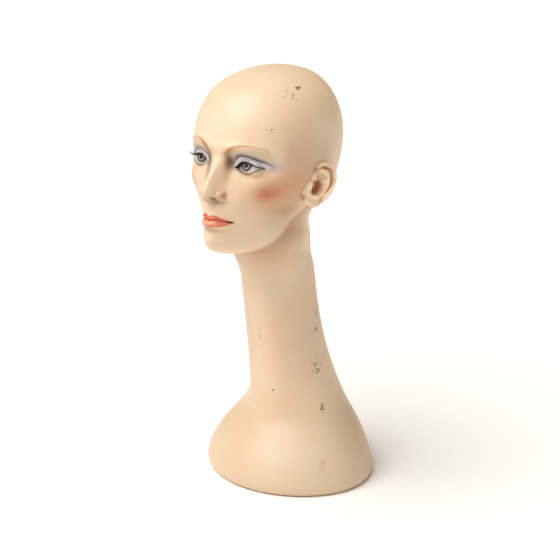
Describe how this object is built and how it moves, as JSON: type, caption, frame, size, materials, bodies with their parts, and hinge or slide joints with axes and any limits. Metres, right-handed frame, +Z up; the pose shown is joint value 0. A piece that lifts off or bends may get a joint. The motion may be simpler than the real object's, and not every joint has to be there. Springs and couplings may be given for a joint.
{
  "type": "mannequin head",
  "caption": "Bald display and make-up training head with painted face, on a long neck that widens to its own base, with a stand socket underneath.",
  "frame": {"origin": "centre of the stand socket's mouth, in the plane the base rests on", "axes": "+Z up along the neck; the face looks along -Y; +X is the head's own left-hand side"},
  "size_m": [0.2024, 0.2549, 0.4886],
  "materials": {
    "painted_skin": "satin paint on glass-fibre laminate",
    "glass_tape": "resin-wetted glass tape",
    "felt": "pressed felt",
    "plywood": "bare",
    "timber": "bare",
    "zinc_steel": "zinc plated",
    "weld_metal": "as welded",
    "lash_band": "cotton thread",
    "lash_fibre": "tapered synthetic fibre"
  },
  "bodies": {
    "root": {"front_shell": "painted_skin", "rear_shell": "painted_skin", "left_ear": "painted_skin", "right_ear": "painted_skin", "bond_tape": "glass_tape", "base_felt": "felt", "base_board": "plywood", "fixing_blocks": "timber", "board_screws": "zinc_steel", "socket_tube": "zinc_steel", "socket_flange": "zinc_steel", "socket_weld": "weld_metal", "socket_screws": "zinc_steel", "left_lash_band": "lash_band", "right_lash_band": "lash_band", "left_lash_fibres": "lash_fibre", "right_lash_fibres": "lash_fibre"}
  },
  "joints": []
}
